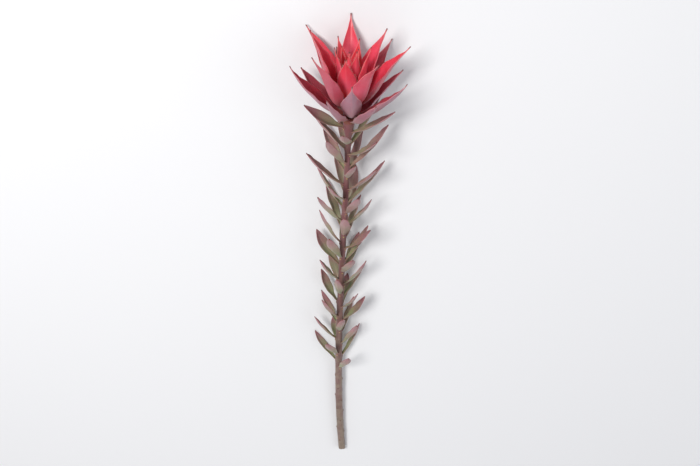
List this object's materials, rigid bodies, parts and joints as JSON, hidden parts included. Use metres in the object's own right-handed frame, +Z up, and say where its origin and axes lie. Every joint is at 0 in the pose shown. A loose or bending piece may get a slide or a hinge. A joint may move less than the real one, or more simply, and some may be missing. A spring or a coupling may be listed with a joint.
{
  "type": "leucadendron stem",
  "caption": "Cut leucadendron stem lying on its side: a woody stem with narrow grey-mauve leaves and a pointed head of red and mauve bracts round a small yellow-green cone.",
  "frame": {"origin": "on the surface that the stem lies on, below the middle of its bounding box", "axes": "+Y along the stem towards the tip of the flower head, +Z up from the surface, +X to the right of someone who looks from the cut end towards the head"},
  "size_m": [0.084, 0.4466, 0.0759],
  "materials": {
    "leafy_stem": "satin leaf and bark",
    "outer_bracts": "satin leaf with a waxy bloom",
    "main_bracts": "satin leaf",
    "inner_bracts": "satin leaf",
    "cone": "matte scales"
  },
  "bodies": {
    "root": {"leafy_stem": "leafy_stem", "outer_bracts": "outer_bracts", "main_bracts": "main_bracts", "inner_bracts": "inner_bracts", "cone": "cone"}
  },
  "joints": []
}
